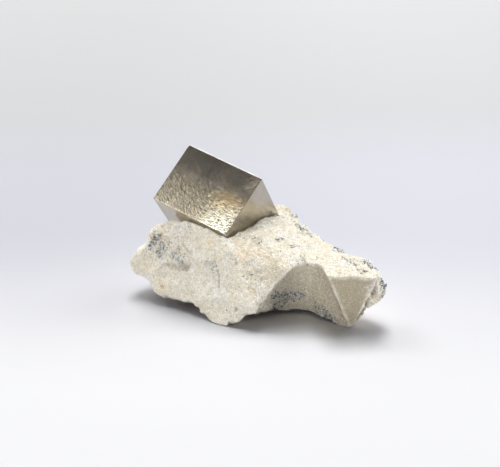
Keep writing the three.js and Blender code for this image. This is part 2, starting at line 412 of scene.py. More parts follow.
# %% [markdown]
# ## Soft steps, sharp breaks
#
# The copy still shows the measured solid's facets. Plain smoothing would melt them together with the real
# breaks, such as the sharp rim of the hollow in front. The two are told apart by how far the surface
# turns between neighbours: facets turn a little, a break turns a lot. Points on a break stay where they
# are, all others move towards the middle of their neighbours. A Smooth modifier with a vertex group does
# the same sum, but here the turn is measured on the way.


# %% Smoothing that keeps the breaks
SMOOTHING_ROUNDS = 28
FACET_TURN, BREAK_TURN = 11, 24


def neighbour_mean(values, pairs):
    """The mean of each point's neighbours along the edges, for one or more numbers a point."""
    values = values.reshape(len(values), -1)
    count = np.bincount(pairs.ravel(), minlength=len(values))
    columns = []
    for column in values.T:
        there = np.bincount(pairs[:, 0], column[pairs[:, 1]], len(values))
        back = np.bincount(pairs[:, 1], column[pairs[:, 0]], len(values))
        columns.append((there + back) / count)
    return np.stack(columns, axis=-1).squeeze()


def turn_at(mesh, pairs):
    """The sharpest turn of the surface at each point, in degrees, over the edges that meet there."""
    ways = normals_of(mesh)
    cosine = np.sum(ways[pairs[:, 0]] * ways[pairs[:, 1]], axis=1)
    turn = np.degrees(np.arccos(np.clip(cosine, -1, 1)))
    sharpest = np.zeros(len(ways))
    np.maximum.at(sharpest, pairs[:, 0], turn)
    np.maximum.at(sharpest, pairs[:, 1], turn)
    return sharpest


pairs = edges_of(marl.data)
break_line = ramp(turn_at(marl.data, pairs), FACET_TURN, BREAK_TURN)
rock = points_of(marl.data)
for _ in range(SMOOTHING_ROUNDS):
    rock += (neighbour_mean(rock, pairs) - rock) * (0.5 * (1 - break_line))[:, None]
move_points(marl.data, rock)
print("points kept sharp:", int((break_line > 0.5).sum()), "of", len(rock))

# %% [markdown]
# ## Which part of the rock is which
#
# Each kind of broken surface gets its own relief, so the rock is split into zones by where a point lies
# and which way it faces: the calm split face at the front left as far as the ridge that ends it, the flat
# mould of a lost crystal at the right, the smooth hollow beside it, the smooth lobe at the far left, and
# rough crumbs everywhere else. The mould is pressed flat, because a crystal face made it, and the rock
# falls away past its right edge. Zones could be painted by hand; places and directions can be corrected.

# %% Zones of the rock
BEVEL_SLOPE, BEVEL_REACH = 0.8, 2.5
spots = rock / MM - layout_shift
facing = normals_of(marl.data)
print("spots from", spots.min(axis=0).round(1), "to", spots.max(axis=0).round(1))


def unit(vector):
    """The vector at length 1."""
    return np.asarray(vector, float) / np.linalg.norm(vector)


ragged = spots + np.stack([1.3 * layered(spots, 1.7, 2, 30 + way) for way in range(3)], axis=-1)


def close_to(centre, reach, soft=1.0):
    """1 inside reach of a layout point, 0 past soft times the reach outside it, with a ragged edge."""
    distance = np.linalg.norm(ragged - np.asarray(centre), axis=1)
    return 1 - ramp(distance, reach, reach * (1 + soft))


SPLIT_WAY, SPLIT_OUT = unit([-0.533, -0.774, 0.342]), 18.3
split_depth = spots @ SPLIT_WAY - SPLIT_OUT
split_face = ramp(facing @ SPLIT_WAY, 0.7, 0.9) * (1 - ramp(np.abs(split_depth), 1.3, 2.4))

RIDGE_HEIGHTS = [6.4, 7.1, 9.5, 11.9, 14.4, 16.5, 19.2, 21.8]
RIDGE_SIDES = [1.9, 0.5, -0.5, -1.9, -3.2, -5.1, -6.8, -8.7]
past_ridge = ragged[:, 0] * 0.3 + spots[:, 0] * 0.7 - np.interp(spots[:, 2], RIDGE_HEIGHTS, RIDGE_SIDES)
split_face *= 1 - ramp(past_ridge, -0.4, 0.3)

MOULD_LEFT, MOULD_RIGHT, MOULD_FOOT = [19.9, -25, 16.4], [32.8, -23, 16], [27.4, -20.4, 0]
EDGE_TOP, EDGE_FOOT = [32.93, -22.82, 15.24], [28.28, -20.93, 3.09]
mould_way = unit(np.cross(np.subtract(MOULD_FOOT, MOULD_LEFT), np.subtract(MOULD_RIGHT, MOULD_LEFT)))
edge_out = unit(np.cross(mould_way, np.subtract(EDGE_TOP, EDGE_FOOT)))
edge_out *= np.sign(edge_out[0])
mould_depth = (spots - MOULD_LEFT) @ mould_way
past_edge = (spots - EDGE_TOP) @ edge_out
on_mould = ramp(facing @ mould_way, 0.55, 0.8) * (1 - ramp(np.abs(mould_depth), 0.5, 0.9)) * (past_edge > -16)
bevel = -BEVEL_SLOPE * np.clip(past_edge, 0, BEVEL_REACH) * on_mould
pressed = -mould_depth * on_mould * (past_edge < 0)
rock += np.outer((bevel + pressed) * MM, mould_way)
mould = on_mould * (1 - ramp(past_edge, -0.1, 0.25))

hollow_low, hollow_high = np.array([3.9, -27.0, -1.0]), np.array([28.5, -9.0, 17.2])
outside = np.maximum(hollow_low - spots, spots - hollow_high).max(axis=1)
hollow = (1 - ramp(outside, -0.4, 0.6)) * ramp(facing @ unit([-0.35, -0.9, -0.3]), 0.25, 0.55)
hollow *= 1 - mould

lobe = close_to([-31.6, 2.4, 10.2], 3.4, 0.5)
rugged_split = ramp(spots[:, 0], -13.0, -18.0) * ramp(spots[:, 2], 10.0, 13.0)
calm = np.clip(split_face * (0.62 - 0.4 * rugged_split) + mould + 0.85 * hollow + 0.6 * lobe, 0, 1)
print("split, mould, hollow, lobe:", [int(zone.sum()) for zone in (split_face, mould, hollow, lobe)])

# %% [markdown]
# ## The broken relief
#
# Crumbs are lumps with sharp valleys between them, which is what one less the size of a noise looks like.
# They sit on a gentler, larger relief, and shallow grooves run down the split face. Small features that
# give this specimen its face, such as the crack, the pocket under its ledge and the pits, are pressed in
# one by one. Displace modifiers would need a texture for each; here a feature is one line.


# %% Crumbs and waves
def crumbs(points, size, seed):
    """Rounded lumps with sharp valleys: a constant less twice the size of a noise."""
    return 0.55 - 2 * np.abs(noise(points, size, seed))


waves = 0.3 * noise(spots, 3.4, 41) + 0.16 * noise(spots, 1.9, 42)
crumble = 0.2 * crumbs(spots, 2.1, 43) + 0.2 * crumbs(spots, 1.15, 44) + 0.16 * noise(spots, 0.72, 45)
patchy = 0.85 + 0.5 * noise(spots, 7.0, 46)
fine_grain = 0.14 * noise(spots, 0.72, 47) + 0.18 * noise(spots, 1.4, 49) + 0.16 * noise(spots, 3.1, 48)
DOWN_RIGHT = unit([0.62, -0.36, -0.69])
beside = np.cross(DOWN_RIGHT, SPLIT_WAY)
stretched = np.stack([spots @ beside, 0.22 * (spots @ DOWN_RIGHT), spots @ SPLIT_WAY], axis=-1)
runs = 0.24 * noise(stretched, 0.9, 50) + 0.22 * noise(stretched, 1.7, 51)
grooves = split_face * (0.35 + 0.65 * rugged_split) * runs
grain_share = calm * (1 - 0.9 * mould - 0.45 * hollow)
rock_relief = (1 - calm) * (waves + patchy * crumble) + grain_share * fine_grain + grooves


# %% The crack, the pocket and the pits
def along_path(path, way):
    """Distance in mm to a path of layout points, seen along a direction, so its depth doesn't count."""
    seen = spots - np.outer(spots @ way, way)
    stops = np.asarray(path, float)
    stops = stops - np.outer(stops @ way, way)
    nearest = np.full(len(seen), np.inf)
    for start, end in zip(stops[:-1], stops[1:]):
        step = end - start
        share = np.clip((seen - start) @ step / (step @ step), 0, 1)
        nearest = np.minimum(nearest, np.linalg.norm(seen - start - share[:, None] * step, axis=1))
    return nearest


def dent(centre, way, across_mm, height_mm, tilt=0.0):
    """A bowl, 1 at its middle and 0 at its oval rim, seen along a direction and turned by tilt degrees."""
    side = unit(np.cross([0, 0, 1], way))
    up = np.cross(way, side)
    turn = math.radians(tilt)
    offset = spots - np.asarray(centre)
    x = offset @ (side * math.cos(turn) + up * math.sin(turn)) / (across_mm / 2)
    y = offset @ (up * math.cos(turn) - side * math.sin(turn)) / (height_mm / 2)
    wobble = 1 + 0.35 * noise(spots, 1.1, 52)
    near_surface = 1 - ramp(np.abs(offset @ way), 2.0, 3.5)
    return np.clip(1 - (x**2 + y**2) * wobble, 0, 1) * near_surface


facing_split = ramp(facing @ SPLIT_WAY, 0.3, 0.6)
crack_path = [
    [-9.3, -11.7, 14.6], [-8.8, -12.5, 13.4], [-8.4, -13.2, 11.9], [-8.6, -13.5, 11.0], [-8.4, -14.0, 9.4],
]
crack_width = along_path(crack_path, SPLIT_WAY) + 0.16 * noise(spots, 0.8, 53)
crack = np.exp(-((crack_width / 0.24) ** 2)) * facing_split * ramp(noise(spots, 1.5, 54), -0.6, 0.1)
seam_path = [[-18.8, -3.6, 18.0], [-17.6, -5.0, 17.0], [-16.6, -6.2, 16.2]]
seam = np.exp(-((along_path(seam_path, SPLIT_WAY) / 0.3) ** 2)) * facing_split

crumb_mass = dent([-19.6, -4.9, 14.4], SPLIT_WAY, 7.0, 4.0, -14)
scoop = dent([-22.5, -4.6, 9.3], SPLIT_WAY, 9.0, 6.0, -10)
step_back = ramp(past_ridge, -0.1, 0.8) * (1 - ramp(past_ridge, 2.5, 7.0))
step_back *= (1 - ramp(spots[:, 2], 15.0, 19.0)) * ramp(facing[:, 1], 0.1, -0.3)
pocket_path = [[-23.2, -3.4, 11.7], [-20.6, -5.2, 11.6], [-18.3, -6.8, 12.0], [-17.0, -7.5, 12.8]]
pocket_width = along_path(pocket_path, SPLIT_WAY) + 0.45 * noise(spots, 1.5, 56)
pocket = np.exp(-((pocket_width / 0.75) ** 2)) * facing_split
pit = dent([-3.8, -19.1, 4.9], SPLIT_WAY, 0.95, 1.5)
arch_mark = dent([-25.0, -4.2, 5.3], SPLIT_WAY, 2.0, 1.5, 25)
rock_relief += 0.9 * crumb_mass - 1.1 * scoop - 0.6 * step_back
rock_relief -= 0.45 * crack + 0.3 * seam + 1.0 * pocket + 0.6 * pit + 0.5 * arch_mark
print("rock relief (mm):", rock_relief.min().round(2), "to", rock_relief.max().round(2))

# %% [markdown]
# The relief is pushed in and out along the surface. The rock must not outgrow the measured box, and it
# stands on real feet, so what would pass the box is held at it. Afterwards the hollows and ridges are
# measured once: the finish paints shade into the hollows and a painted highlight onto the ridges.

# %% Push the relief in, then measure hollows and ridges
FINE_ROUNDS, BROAD_ROUNDS = 4, 40
rock = rock + facing * (rock_relief * MM)[:, None]
print("points held at the box:", int(((rock < box_low) | (rock > box_high)).any(axis=1).sum()))
rock = np.clip(rock, box_low, box_high)
move_points(marl.data, rock)
facing = normals_of(marl.data)


def bulge(rounds):
    """How far a point stands out of its surroundings, in mm: its offset from a smoothed surface, outwards."""
    smooth = rock
    for _ in range(rounds):
        smooth = smooth + 0.5 * (neighbour_mean(smooth, pairs) - smooth)
    return np.sum((rock - smooth) * facing, axis=1) / MM


fine_bulge = bulge(FINE_ROUNDS)
broad_bulge = bulge(BROAD_ROUNDS)
print("fine and broad bulge (mm):", fine_bulge.std().round(4), broad_bulge.std().round(4))

# %% [markdown]
# ## Stains and grains, by place
#
# The rock's colour is patchy: peach and tan stains, white crumbs, a grey bloom, khaki on the moulded
# faces. Dark, blue-grey grains sit in clusters. Each stain is a list of places with a reach, broken up by
# noise, and stored on the points, where the material reads it. A cell or image texture could not put a
# stain on a chosen spot as easily.

# %% Stain and grain masks
TAN_PLACES = [
    ([-26.5, 1.2, 19.2], 1.8), ([-28.4, 3.0, 17.4], 1.5), ([-24.5, 1.0, 20.4], 1.2),
    ([-29.2, 0.3, 8.7], 1.2), ([-24.0, -4.6, 4.9], 1.5), ([-25.0, -4.2, 5.6], 1.2),
    ([-4.1, -9.3, 20.4], 1.3), ([-1.4, -10.5, 19.4], 1.8), ([1.2, -11.0, 19.0], 1.6),
    ([-2.7, -12.5, 17.9], 1.4), ([3.3, -11.7, 18.7], 1.4), ([1.6, -13.1, 17.5], 1.2),
    ([0.6, -18.2, 10.6], 0.9), ([8.3, -14.8, 17.0], 1.0), ([10.2, -16.3, 15.9], 1.0),
    ([5.4, -15.1, 15.4], 1.0), ([34.0, -19.0, 8.2], 1.4), ([26.6, -20.0, 0.8], 1.0),
    ([-10.9, -8.4, 19.8], 0.8), ([10.0, 18.9, 20.6], 1.8),
]
WHITE_PLACES = [
    ([6.2, 0.4, 20.1], 1.8), ([9.8, -1.8, 19.1], 1.8), ([13.7, -9.1, 18.9], 1.6),
    ([4.1, -9.8, 20.1], 1.2), ([19.8, -6.8, 17.4], 1.6), ([25.4, -16.5, 17.2], 1.6),
    ([-24.6, -1.6, 13.2], 1.0), ([-16.6, -7.4, 12.3], 1.2), ([-8.1, -14.9, 8.2], 2.0),
    ([-31.0, 0.4, 6.0], 1.6), ([-29.0, -0.6, 5.4], 1.6), ([1.0, -14.6, 15.6], 1.4),
    ([-19.0, 0.2, 21.8], 1.6), ([32.8, -22.0, 12.0], 1.6),
]
GRAIN_PLACES = [
    ([-26.3, 1.5, 17.3], 1.1), ([-27.7, 1.6, 15.6], 0.9), ([-25.4, -0.3, 14.6], 0.9),
    ([-24.2, -0.4, 16.4], 1.1), ([-20.6, -3.5, 15.0], 1.0), ([-19.3, -4.8, 14.4], 0.9),
    ([-18.3, -6.0, 13.7], 0.7), ([-11.5, -10.2, 15.0], 0.8), ([-9.8, -11.6, 14.3], 0.8),
    ([15.4, 5.6, 18.9], 1.1), ([16.3, 1.4, 19.0], 1.2), ([14.0, 7.6, 19.2], 0.9),
    ([8.6, -5.1, 19.2], 0.9), ([11.8, -7.9, 19.0], 0.8), ([14.3, -14.7, 17.4], 0.7),
    ([24.6, -5.6, 16.6], 1.2), ([26.4, -12.6, 16.8], 0.9), ([28.0, -16.0, 16.6], 1.1),
    ([29.0, -20.6, 16.7], 0.9), ([31.8, -12.6, 15.7], 1.1), ([33.4, -15.2, 15.2], 0.9),
    ([35.4, -17.6, 12.0], 1.1), ([35.4, -17.4, 9.8], 0.9), ([6.6, -15.2, 7.4], 1.0),
    ([8.8, -13.2, 6.1], 1.4), ([11.5, -12.4, 6.4], 1.2), ([13.8, -12.5, 6.7], 0.9),
    ([7.1, -13.1, 3.0], 1.1), ([18.6, -14.1, 3.2], 1.2), ([20.5, -15.4, 2.0], 1.3),
    ([22.1, -16.5, 0.9], 1.1), ([8.7, 11.6, 21.7], 0.9), ([30.4, -18.8, 5.4], 0.8),
]


def spread(places, soft=0.9):
    """The strongest of several soft spots at each point."""
    return np.max([close_to(centre, reach, soft) for centre, reach in places], axis=0)


break_up = layered(spots, 1.8, 3, 61, 0.7)
hidden_side = ramp(spots[:, 1], 4.0, 12.0) * ramp(np.abs(facing[:, 2] - 0.1), 1.2, 0.4)
wild_tan = ramp(noise(spots, 5.5, 62), 0.18, 0.5)
tan = np.clip(spread(TAN_PLACES) * (0.75 + 0.9 * break_up) + 0.4 * wild_tan * (1 - calm), 0, 1)
tan *= (1 - hollow) * (1 - mould)
white = np.clip(spread(WHITE_PLACES) * (0.75 + 0.9 * break_up), 0, 1)
white = np.maximum(white, ramp(noise(spots, 4.2, 63), 0.25, 0.55) * 0.7 * (1 - calm))
wild_grains = ramp(noise(spots, 4.6, 64), 0.42, 0.6) * np.clip(0.25 + hidden_side, 0, 1) * (1 - calm)
grain_zone = np.clip(np.maximum(spread(GRAIN_PLACES, 1.2), 0.8 * wild_grains), 0, 1)
khaki = np.clip(mould + 0.5 * hollow * ramp(facing[:, 0], -0.2, -0.8) + 0.45 * hollow + 0.3 * lobe, 0, 1)
grey = np.clip(split_face * (0.55 + 0.4 * noise(spots, 6.0, 65)), 0, 1)

rim = neighbour_mean(break_line, pairs)
rim = np.clip(1.6 * neighbour_mean(rim, pairs), 0, 1) * ramp(broad_bulge, 0.02, 0.16)
paint(marl, "rim", rim * (0.7 + 0.5 * break_up))
# Painted shade: how far a point faces up; the finish makes up-facing tops a little darker.
paint(marl, "painted_top_shade", ramp(facing[:, 2], 0.72, 0.97))
paint(marl, "tan", tan)
paint(marl, "white", white)
paint(marl, "khaki", khaki)
paint(marl, "grey", grey)
paint(marl, "grain_zone", grain_zone)
smooth_part = np.clip(mould + 0.55 * hollow + 0.35 * split_face * (1 - rugged_split) + 0.4 * lobe, 0, 1)
paint(marl, "calm", smooth_part)
paint(marl, "bulge", np.clip(fine_bulge / 0.05, -1, 1) * 0.6 + np.clip(broad_bulge / 0.3, -1, 1) * 0.4)
# Painted shade: the crack, seam, pit, arch mark and the pocket under the ledge are darkened where they sink
# in.
paint(marl, "painted_recess_shade", np.clip(crack + 0.6 * seam + 0.8 * pit + 0.5 * arch_mark + 0.3 * pocket, 0, 1))
print("grain zone covers", round(100 * float(grain_zone.mean()), 1), "percent of the points")

# %% [markdown]
# ## The dark grains
#
# The grains are tiny dark crystals, a few tenths of a millimetre, half sunk in the rock. A particle
# system would scatter them, but they are wanted as plain mesh, so they are joined from arrays: one
# twenty-sided solid, copied, stretched, turned and set down at chosen points in one go.


# %% One mesh of many grains
def twenty_sides():
    """The icosahedron: three golden rectangles' corners, and the faces whose corners lie an edge apart."""
    golden = (1 + math.sqrt(5)) / 2
    points = np.array([
        [-1, golden, 0], [1, golden, 0], [-1, -golden, 0], [1, -golden, 0],
        [0, -1, golden], [0, 1, golden], [0, -1, -golden], [0, 1, -golden],
        [golden, 0, -1], [golden, 0, 1], [-golden, 0, -1], [-golden, 0, 1],
    ])
    triples = np.array(list(itertools.combinations(range(12), 3)))
    sides = points[triples] - points[np.roll(triples, 1, axis=1)]
    faces = triples[np.linalg.norm(sides, axis=2).max(axis=1) < 2.1]
    middle = points[faces].mean(axis=1)
    way = np.cross(points[faces[:, 1]] - points[faces[:, 0]], points[faces[:, 2]] - points[faces[:, 0]])
    flip = np.sum(way * middle, axis=1) < 0
    faces[flip] = faces[flip][:, ::-1]
    return points / np.linalg.norm(points[0]), faces


def random_turns(count):
    """Turning matrices, each from a random unit quaternion."""
    a, b, c, d = unit_rows(rng.normal(size=(count, 4))).T
    rows = [
        [1 - 2 * (c * c + d * d), 2 * (b * c - a * d), 2 * (b * d + a * c)],
        [2 * (b * c + a * d), 1 - 2 * (b * b + d * d), 2 * (c * d - a * b)],
        [2 * (b * d - a * c), 2 * (c * d + a * b), 1 - 2 * (b * b + c * c)],
    ]
    return np.moveaxis(np.array(rows), 2, 0)


def unit_rows(vectors):
    """Each row at length 1."""
    return vectors / np.linalg.norm(vectors, axis=1, keepdims=True)


GRAIN_COUNT = 1700
chance = grain_zone**1.5 * (0.25 + ramp(break_up, -0.2, 0.5))
seats = rng.choice(len(rock), GRAIN_COUNT, replace=False, p=chance / chance.sum())
ball, ball_faces = twenty_sides()
radius = rng.uniform(0.08, 0.21, GRAIN_COUNT) * (1 + 0.5 * (rng.random(GRAIN_COUNT) > 0.88))
stretch = radius[:, None] * rng.uniform(0.7, 1.3, (GRAIN_COUNT, 3))
shapes = ball[None] * rng.uniform(0.75, 1.15, (GRAIN_COUNT, 12, 1)) * stretch[:, None]
shapes = np.einsum("gij,gpj->gpi", random_turns(GRAIN_COUNT), shapes)
seat_points = rock[seats] + facing[seats] * (radius * MM * 0.25)[:, None]
grain_points = seat_points[:, None] + shapes * MM
grain_points = np.clip(grain_points.reshape(-1, 3), box_low, box_high)
grain_faces = (ball_faces[None] + 12 * np.arange(GRAIN_COUNT)[:, None, None]).reshape(-1, 3)
grains = piece_from_arrays("dark_grains", grain_points, grain_faces, smooth=False)
paint(grains, "shade", np.repeat(rng.random(GRAIN_COUNT), 12))
paint(grains, "pale", np.repeat(rng.random(GRAIN_COUNT) > 0.8, 12).astype(float))
print("grains:", GRAIN_COUNT, "with", len(grain_faces), "triangles")

# %% [markdown]
# ## Writing materials as sums
#
# A material is a net of nodes, and most of those nodes only add and multiply. Here a small class stands
# for one output of a node, so that `1 - mask * 0.5` writes the Math nodes by itself. Every other node
# comes from one method, which sets the node's settings first and then its inputs.


# %% Expressions for materials
class Flow:
    """A number or colour that comes out of a node; arithmetic on it adds Math nodes."""

    def __init__(self, finish, socket):
        self.finish = finish
        self.socket = socket

    def math(self, operation, first, second=0.0):
        """A Math node on two values."""
        settings = {"operation": operation}
        return self.finish.node("ShaderNodeMath", settings, {0: first, 1: second})

    def __add__(self, other):
        return self.math("ADD", self, other)

    def __radd__(self, other):
        return self.math("ADD", other, self)

    def __sub__(self, other):
        return self.math("SUBTRACT", self, other)

    def __rsub__(self, other):
        return self.math("SUBTRACT", other, self)

    def __mul__(self, other):
        return self.math("MULTIPLY", self, other)

    def __rmul__(self, other):
        return self.math("MULTIPLY", other, self)

    def held(self):
        """The value held between 0 and 1."""
        return self.finish.node("ShaderNodeClamp", {}, {"Value": self})

    def step(self, start, end):
        """0 before start and 1 after end, with a smooth S between them."""
        settings = {"interpolation_type": "SMOOTHSTEP"}
        inputs = {"Value": self, "From Min": start, "From Max": end}
        return self.finish.node("ShaderNodeMapRange", settings, inputs)


class Finish:
    """A material and its node tree, filled one node at a time."""

    def __init__(self, name):
        self.material = bpy.data.materials.new(name)
        self.material.use_nodes = True
        self.tree = self.material.node_tree
        self.tree.nodes.clear()

    def node(self, kind, settings, inputs, output=0):
        """One node: its settings, then a value or a Flow for each named input; returns one of its outputs."""
        made = self.tree.nodes.new(kind)
        for name, value in settings.items():
            setattr(made, name, value)
        for name, value in inputs.items():
            if isinstance(value, Flow):
                self.tree.links.new(value.socket, made.inputs[name])
            else:
                made.inputs[name].default_value = value
        return Flow(self, made.outputs[output])

    def place(self):
        """Where the shaded point is, in the object's own metres."""
        return self.node("ShaderNodeTexCoord", {}, {}, "Object")

    def read(self, name, output="Fac"):
        """A value stored on the points of the piece."""
        return self.node("ShaderNodeAttribute", {"attribute_name": name}, {}, output)

    def scaled(self, vector, factors):
        """A vector times three factors."""
        return self.node("ShaderNodeVectorMath", {"operation": "MULTIPLY"}, {0: vector, 1: factors})

    def shaded(self, colour, factor):
        """A colour made darker or lighter by a factor."""
        return self.node("ShaderNodeVectorMath", {"operation": "SCALE"}, {0: colour, "Scale": factor})

    def cloud(self, vector, per_unit, detail=2.0, roughness=0.5):
        """Noise between 0 and 1, with so many waves to the unit."""
        inputs = {"Vector": vector, "Scale": per_unit, "Detail": detail, "Roughness": roughness}
        return self.node("ShaderNodeTexNoise", {}, inputs)

    def blend(self, share, colour, other):
        """From colour to other as share goes from 0 to 1."""
        inputs = {0: share, 6: colour, 7: other}
        return self.node("ShaderNodeMix", {"data_type": "RGBA"}, inputs, 2)

    def done(self, shader):
        """Ends the tree in the material's output."""
        end = self.tree.nodes.new("ShaderNodeOutputMaterial")
        self.tree.links.new(shader.socket, end.inputs["Surface"])
        return self.material


def rgb(red, green, blue):
    """A linear colour with the fourth number that sockets want."""
    return (red, green, blue, 1.0)


# %% [markdown]
# ## The rock's finish
#
# Cream chalk comes first. Over it go the stains, each by its stored mask and a little noise at its edge,
# then painted shade in the hollows and a painted highlight on the ridges. Grit darkens and lightens it
# all a little, less on the calm parts. Fine sugar, too small for the mesh, is left to a bump.


# %% Marl
def marl_finish():
    """Matt chalk: cream, peach, white and grey patches, khaki on moulded faces, and a sugary bump."""
    look = Finish("marl")
    where = look.place()
    sugar = look.cloud(where, 2600.0, 3.0, 0.7)
    speckle = look.cloud(where, 1300.0, 2.0, 0.6)
    pores = look.cloud(where, 2100.0, 2.0, 0.65)
    mottle = look.cloud(where, 620.0, 2.0, 0.6)
    clouding = look.cloud(where, 260.0, 3.0, 0.6)
    calm_part = look.read("calm")
    raised = look.read("bulge")

    colour = look.blend(clouding.step(0.35, 0.68), rgb(0.92, 0.87, 0.735), rgb(0.90, 0.82, 0.64))
    colour = look.blend(look.read("grey") * 0.9, colour, rgb(0.86, 0.815, 0.70))
    colour = look.blend(look.read("khaki") * 0.9, colour, rgb(0.45, 0.385, 0.265))
    tan_share = (look.read("tan") * (0.2 + speckle * 1.3)).held() * 0.75
    colour = look.blend(tan_share, colour, rgb(0.90, 0.74, 0.50))
    white_share = (look.read("white") * (0.4 + speckle * 1.1)).held() * 0.8
    colour = look.blend(white_share, colour, rgb(0.93, 0.91, 0.86))
    # Painted highlight: raised ridges are lightened. Painted shade: sunken hollows are darkened.
    rough_part = 1 - calm_part * 0.7
    ridge_highlight_share = (raised * rough_part * 0.6).held()
    colour = look.blend(ridge_highlight_share, colour, rgb(0.94, 0.92, 0.86))
    hollow_shade_share = (raised * rough_part * -0.7).held()
    colour = look.blend(hollow_shade_share, colour, rgb(0.68, 0.585, 0.43))
    colour = look.blend(look.read("rim") * 0.85, colour, rgb(0.93, 0.88, 0.76))
    pale_share = sugar.step(0.50, 0.64) * rough_part * 0.8
    colour = look.blend(pale_share, colour, rgb(0.95, 0.94, 0.90))
    # Painted shade: small dark specks stand in for the shadows inside tiny pits.
    pore_shade_share = pores.step(0.42, 0.31) * rough_part * 0.75
    colour = look.blend(pore_shade_share, colour, rgb(0.50, 0.42, 0.31))
    dust = look.read("grain_zone") * speckle.step(0.42, 0.62)
    colour = look.blend(dust * 0.6, colour, rgb(0.33, 0.34, 0.35))
    # Painted shade in the crack, seam, pits and the pocket under the ledge.
    colour = look.blend(look.read("painted_recess_shade") * 0.6, colour, rgb(0.30, 0.25, 0.19))
    grit = (sugar - 0.5) * 0.8 + (speckle - 0.5) * 0.5 + (mottle - 0.5) * 0.5
    # Painted shade: up-facing tops are made up to 13 percent darker.
    level = 1.0 - look.read("painted_top_shade") * 0.13
    colour = look.shaded(colour, level * (1.0 + grit * (1 - calm_part * 0.6)))

    height = (sugar * 0.7 + speckle) * (1 - calm_part * 0.75)
    bump = look.node("ShaderNodeBump", {}, {"Strength": 1.0, "Distance": 0.00036, "Height": height})
    inputs = {"Base Color": colour, "Roughness": 0.92, "Specular IOR Level": 0.25, "Normal": bump}
    return look.done(look.node("ShaderNodeBsdfPrincipled", {}, inputs))


marl.data.materials.append(marl_finish())
print("marl nodes:", len(marl.data.materials[0].node_tree.nodes))


# %% Dark grains
def grain_finish():
    """Dark blue-grey mineral with a dull shine, some grains lighter than others."""
    look = Finish("dark_grain")
    shade = look.read("shade")
    colour = look.blend(shade.step(0.1, 1.0), rgb(0.06, 0.07, 0.085), rgb(0.38, 0.41, 0.44))
    colour = look.blend(look.read("pale"), colour, rgb(0.85, 0.83, 0.77))
    inputs = {"Base Color": colour, "Roughness": 0.42, "Specular IOR Level": 0.5}
    return look.done(look.node("ShaderNodeBsdfPrincipled", {}, inputs))


grains.data.materials.append(grain_finish())

# %% [markdown]
# ## The crystal's finish
#
# Pyrite is a metal to light: brassy, and darker than brass. A metal's look is mostly what it mirrors. Its
# growth lines do the rest: dark strokes and painted glints follow them, the roughness follows them too, and
# a bump adds lines finer than the mesh can hold. The front face gets a painted sheen at its lower corner,
# is warmer beside it and has painted dimming low in the middle. An anisotropic metal would stretch the
# shine, but it wouldn't show single strokes.


# %% Pyrite
def pyrite_finish():
    """Pale brass metal, streaked in colour, roughness and height along the stored growth lines."""
    look = Finish("pyrite")
    lines = look.read("lines", "Vector")
    where = look.place()
    strokes = look.cloud(look.scaled(lines, (4.4, 0.6, 1.0)), 1.0, 3.0, 0.65)
    hairs = look.cloud(look.scaled(lines, (6.5, 0.9, 2.0)), 1.0, 3.0, 0.65)
    mottle = look.cloud(where, 1900.0, 2.0, 0.65)
    tarnish = look.cloud(where, 220.0, 3.0, 0.6)
    worked_part = look.read("worked")

    colour = look.blend(tarnish.step(0.38, 0.7), rgb(0.50, 0.45, 0.365), rgb(0.45, 0.395, 0.31))
    colour = look.blend(look.read("peach") * 0.8, colour, rgb(0.82, 0.62, 0.33))
    # Painted sheen: the lower corner of the front face is lightened almost to white.
    colour = look.blend((look.read("painted_sheen") * 1.3).held(), colour, rgb(1.0, 0.97, 0.82))
    # Painted dimming: the lower middle of the front face is darkened.
    colour = look.blend(look.read("painted_dimming") * 0.75, colour, rgb(0.30, 0.27, 0.21))
    dark_share = strokes.step(0.5, 0.40) * (0.12 + worked_part * 0.88)
    colour = look.blend(dark_share, colour, rgb(0.11, 0.09, 0.06))
    # Painted glints: bright strokes along the growth lines.
    glint_share = hairs.step(0.55, 0.66) * (0.10 + worked_part * 0.9)
    colour = look.blend(glint_share, colour, rgb(1.0, 0.90, 0.60))
    colour = look.blend(look.read("pits") * 0.7, colour, rgb(0.20, 0.15, 0.08))
    colour = look.shaded(colour, 0.76 + mottle * 0.48)
    height = (strokes + hairs * 0.7) * (0.2 + worked_part)
    bump = look.node("ShaderNodeBump", {}, {"Strength": 0.4, "Distance": 0.00004, "Height": height})
    rough = 0.14 + strokes * 0.10 + worked_part * 0.08
    inputs = {"Base Color": colour, "Metallic": 1.0, "Roughness": rough, "Normal": bump}
    return look.done(look.node("ShaderNodeBsdfPrincipled", {}, inputs))


crystal.data.materials.append(pyrite_finish())
print("pyrite nodes:", len(crystal.data.materials[0].node_tree.nodes))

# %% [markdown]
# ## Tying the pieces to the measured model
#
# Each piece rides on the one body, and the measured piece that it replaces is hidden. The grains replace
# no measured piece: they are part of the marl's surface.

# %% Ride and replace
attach(crystal, "root")
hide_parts("pyrite_crystal")
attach(marl, "root")
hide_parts("marl_matrix")
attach(grains, "root")

# %% [markdown]
# ## The floor, the light and the camera
#
# The floor is a wide pale disc of matt paper. Its colour carries painted light falloff: white in front,
# cooler and darker around the specimen and at the left, and a neutral grey further back. Far away it turns
# into a painted glow of the pale wall's colour, so that no horizon shows. Its rings are close together in
# the middle and wide apart outside.

# %% Floor
FLOOR_RADIUS = 6.0
FLOOR_RINGS, FLOOR_SPOKES = 33, 96
WALL_GREY = 0.75

